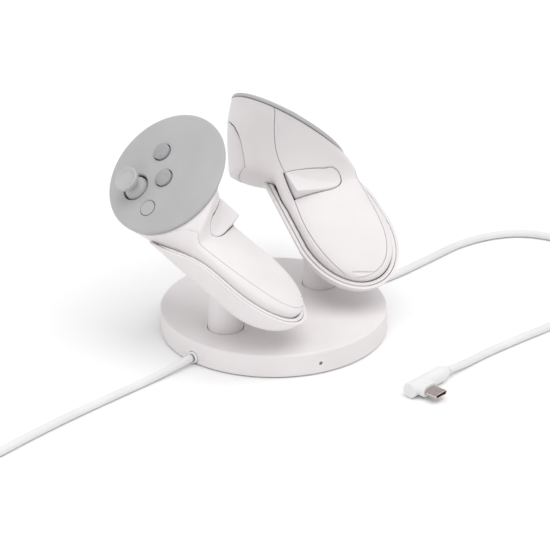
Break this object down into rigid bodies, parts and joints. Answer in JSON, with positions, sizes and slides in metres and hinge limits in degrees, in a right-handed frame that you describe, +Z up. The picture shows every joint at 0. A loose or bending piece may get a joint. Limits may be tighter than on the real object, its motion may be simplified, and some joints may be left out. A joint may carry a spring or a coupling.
{
  "type": "vr motion controller",
  "caption": "Pair of hand-held motion controllers with round button faces, resting in the slanted cradles of a round charging dock with a power cord and a short headset lead.",
  "frame": {"origin": "middle of the round dock's underside, on the surface it stands on", "axes": "+Z up, the two posts stand along X, and +Y points away from the user, towards the controllers' heads"},
  "size_m": [0.4484, 0.1811, 0.1136],
  "materials": {
    "shell_white": "fine satin, faintly warm white",
    "liner_white": "satin, slightly brighter white",
    "face_grey": "satin light grey",
    "button_gloss": "polished light grey",
    "contact_gold": "polished, gold coloured",
    "steel": "plain turned or pressed steel",
    "board_green": "green circuit board",
    "pad_dark": "dull dark grey",
    "cell_wrap": "satin blue-grey sleeve",
    "cord_white": "soft satin white"
  },
  "bodies": {
    "dock": {"base_cover": "shell_white", "bottom_plate": "shell_white", "ballast_plate": "steel", "foot_pad": "pad_dark", "dock_board": "board_green", "status_light": "button_gloss", "power_gland": "cord_white", "lead_gland": "cord_white", "power_cord": "cord_white", "power_coil": "cord_white", "power_plug": "cord_white", "headset_lead": "cord_white", "lead_plug": "cord_white", "plug_shell": "steel", "left_post": "shell_white", "left_cradle_shell": "shell_white", "left_cradle_liner": "liner_white", "left_charge_pins": "contact_gold", "right_post": "shell_white", "right_cradle_shell": "shell_white", "right_cradle_liner": "liner_white", "right_charge_pins": "contact_gold"},
    "left_controller": {"left_outer_shell": "shell_white", "left_inner_panel": "shell_white", "left_face_plate": "face_grey", "left_main_board": "board_green", "left_battery_cell": "cell_wrap", "left_haptic_motor": "steel", "left_grip_pin": "steel", "left_release_latch": "pad_dark", "left_trigger_pin": "steel", "left_trigger_spring": "steel", "left_stick_housing": "steel"},
    "left_trigger": {"left_index_trigger": "shell_white"},
    "left_grip": {"left_grip_button": "shell_white"},
    "left_upper_key": {"left_upper_button": "button_gloss"},
    "left_lower_key": {"left_lower_button": "button_gloss"},
    "left_menu_key": {"left_menu_button": "button_gloss"},
    "left_yoke": {"left_stick_yoke": "steel"},
    "left_stick": {"left_stick_stem": "face_grey"},
    "left_thumb_cap": {"left_stick_cap": "face_grey"},
    "right_controller": {"right_outer_shell": "shell_white", "right_inner_panel": "shell_white", "right_face_plate": "face_grey", "right_main_board": "board_green", "right_battery_cell": "cell_wrap", "right_haptic_motor": "steel", "right_grip_pin": "steel", "right_release_latch": "pad_dark", "right_trigger_pin": "steel", "right_trigger_spring": "steel", "right_stick_housing": "steel"},
    "right_trigger": {"right_index_trigger": "shell_white"},
    "right_grip": {"right_grip_button": "shell_white"},
    "right_upper_key": {"right_upper_button": "button_gloss"},
    "right_lower_key": {"right_lower_button": "button_gloss"},
    "right_menu_key": {"right_menu_button": "button_gloss"},
    "right_yoke": {"right_stick_yoke": "steel"},
    "right_stick": {"right_stick_stem": "face_grey"},
    "right_thumb_cap": {"right_stick_cap": "face_grey"}
  },
  "joints": [
    {"name": "left_lift_off", "type": "slide", "parent": "dock", "child": "left_controller", "axis": [0.0786, 0.2659, 0.9608], "range_m": [0, 0.04]},
    {"name": "left_trigger_pull", "type": "hinge", "parent": "left_controller", "child": "left_trigger", "pos_m": [-0.0334, 0.05207, 0.0865], "axis": [-0.694, 0.2631, -0.6702], "range_deg": [0, 12], "stiffness_Nm_per_rad": 0.12, "springref_deg": -8.59},
    {"name": "left_grip_squeeze", "type": "hinge", "parent": "left_controller", "child": "left_grip", "pos_m": [-0.04829, -0.00021, 0.06802], "axis": [-0.1871, 0.833, 0.5207], "range_deg": [0, 6], "stiffness_Nm_per_rad": 0.2, "springref_deg": -6.88},
    {"name": "left_upper_press", "type": "slide", "parent": "left_controller", "child": "left_upper_key", "axis": [0.6947, 0, -0.7193], "range_m": [0, 0.001], "stiffness_N_per_m": 600, "springref_m": -0.0008},
    {"name": "left_lower_press", "type": "slide", "parent": "left_controller", "child": "left_lower_key", "axis": [0.6947, 0, -0.7193], "range_m": [0, 0.001], "stiffness_N_per_m": 600, "springref_m": -0.0008},
    {"name": "left_menu_press", "type": "slide", "parent": "left_controller", "child": "left_menu_key", "axis": [0.6947, 0, -0.7193], "range_m": [0, 0.001], "stiffness_N_per_m": 600, "springref_m": -0.0008},
    {"name": "left_stick_sideways", "type": "hinge", "parent": "left_controller", "child": "left_yoke", "pos_m": [-0.05285, 0.0434, 0.08024], "axis": [0, 1, 0], "range_deg": [-18, 18], "stiffness_Nm_per_rad": 0.05},
    {"name": "left_stick_lengthways", "type": "hinge", "parent": "left_yoke", "child": "left_stick", "pos_m": [-0.05285, 0.0434, 0.08024], "axis": [-0.7193, 0, -0.6947], "range_deg": [-18, 18], "stiffness_Nm_per_rad": 0.05},
    {"name": "left_stick_click", "type": "slide", "parent": "left_stick", "child": "left_thumb_cap", "axis": [0.6947, 0, -0.7193], "range_m": [0, 0.0005], "stiffness_N_per_m": 800, "springref_m": -0.0006},
    {"name": "right_lift_off", "type": "slide", "parent": "dock", "child": "right_controller", "axis": [-0.0786, 0.2659, 0.9608], "range_m": [0, 0.04]},
    {"name": "right_trigger_pull", "type": "hinge", "parent": "right_controller", "child": "right_trigger", "pos_m": [0.0334, 0.05207, 0.0865], "axis": [-0.694, -0.2631, 0.6702], "range_deg": [0, 12], "stiffness_Nm_per_rad": 0.12, "springref_deg": -8.59},
    {"name": "right_grip_squeeze", "type": "hinge", "parent": "right_controller", "child": "right_grip", "pos_m": [0.04829, -0.00021, 0.06802], "axis": [-0.1871, -0.833, -0.5207], "range_deg": [0, 6], "stiffness_Nm_per_rad": 0.2, "springref_deg": -6.88},
    {"name": "right_upper_press", "type": "slide", "parent": "right_controller", "child": "right_upper_key", "axis": [-0.6947, 0, -0.7193], "range_m": [0, 0.001], "stiffness_N_per_m": 600, "springref_m": -0.0008},
    {"name": "right_lower_press", "type": "slide", "parent": "right_controller", "child": "right_lower_key", "axis": [-0.6947, 0, -0.7193], "range_m": [0, 0.001], "stiffness_N_per_m": 600, "springref_m": -0.0008},
    {"name": "right_menu_press", "type": "slide", "parent": "right_controller", "child": "right_menu_key", "axis": [-0.6947, 0, -0.7193], "range_m": [0, 0.001], "stiffness_N_per_m": 600, "springref_m": -0.0008},
    {"name": "right_stick_sideways", "type": "hinge", "parent": "right_controller", "child": "right_yoke", "pos_m": [0.05285, 0.0434, 0.08024], "axis": [0, -1, 0], "range_deg": [-18, 18], "stiffness_Nm_per_rad": 0.05},
    {"name": "right_stick_lengthways", "type": "hinge", "parent": "right_yoke", "child": "right_stick", "pos_m": [0.05285, 0.0434, 0.08024], "axis": [-0.7193, 0, 0.6947], "range_deg": [-18, 18], "stiffness_Nm_per_rad": 0.05},
    {"name": "right_stick_click", "type": "slide", "parent": "right_stick", "child": "right_thumb_cap", "axis": [-0.6947, 0, -0.7193], "range_m": [0, 0.0005], "stiffness_N_per_m": 800, "springref_m": -0.0006}
  ]
}
